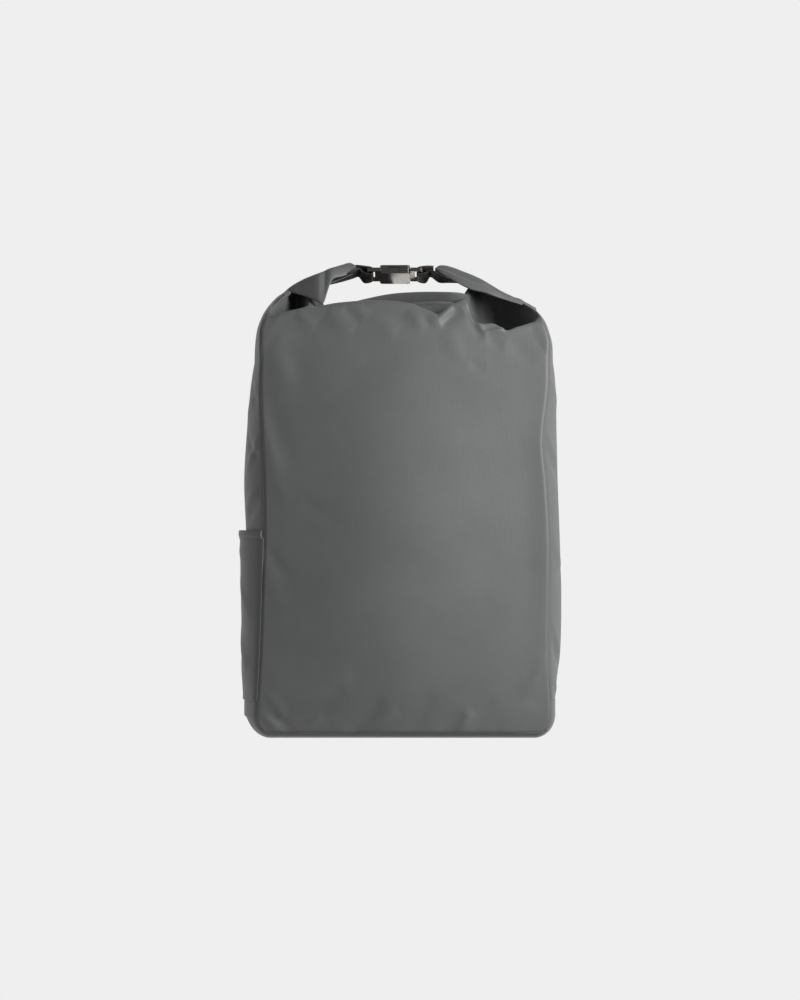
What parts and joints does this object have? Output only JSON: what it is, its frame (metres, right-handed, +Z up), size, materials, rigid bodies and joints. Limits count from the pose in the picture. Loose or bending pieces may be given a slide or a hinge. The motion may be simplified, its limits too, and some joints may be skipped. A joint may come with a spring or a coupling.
{
  "type": "rolltop backpack",
  "caption": "Upright backpack of plain coated cloth, its rolled mouth bent up and buckled into a carrying handle, with an open side pocket and padded shoulder straps.",
  "frame": {"origin": "middle of the base, on the ground", "axes": "+Z up, -Y towards the front panel, +X to the right as seen from the front"},
  "size_m": [0.3244, 0.2135, 0.4733],
  "materials": {
    "coated_cloth": "fine weave with a satin coating",
    "padded_cloth": "fine weave over foam",
    "webbing": "ribbed webbing",
    "buckle_metal": "dark plated, glossy",
    "lock_plastic": "moulded, fine satin"
  },
  "bodies": {
    "root": {"front_panel": "coated_cloth", "back_panel": "coated_cloth", "left_side_panel": "coated_cloth", "right_side_panel": "coated_cloth", "base_panel": "coated_cloth", "side_pocket": "coated_cloth", "pocket_hem": "coated_cloth", "rolled_mouth": "coated_cloth", "buckle_socket": "buckle_metal", "buckle_plug": "buckle_metal", "left_buckle_webbing": "webbing", "right_buckle_webbing": "webbing", "left_shoulder_strap": "padded_cloth", "right_shoulder_strap": "padded_cloth", "left_strap_webbing": "webbing", "right_strap_webbing": "webbing", "left_strap_lock": "lock_plastic", "right_strap_lock": "lock_plastic", "haul_loop": "webbing"}
  },
  "joints": []
}
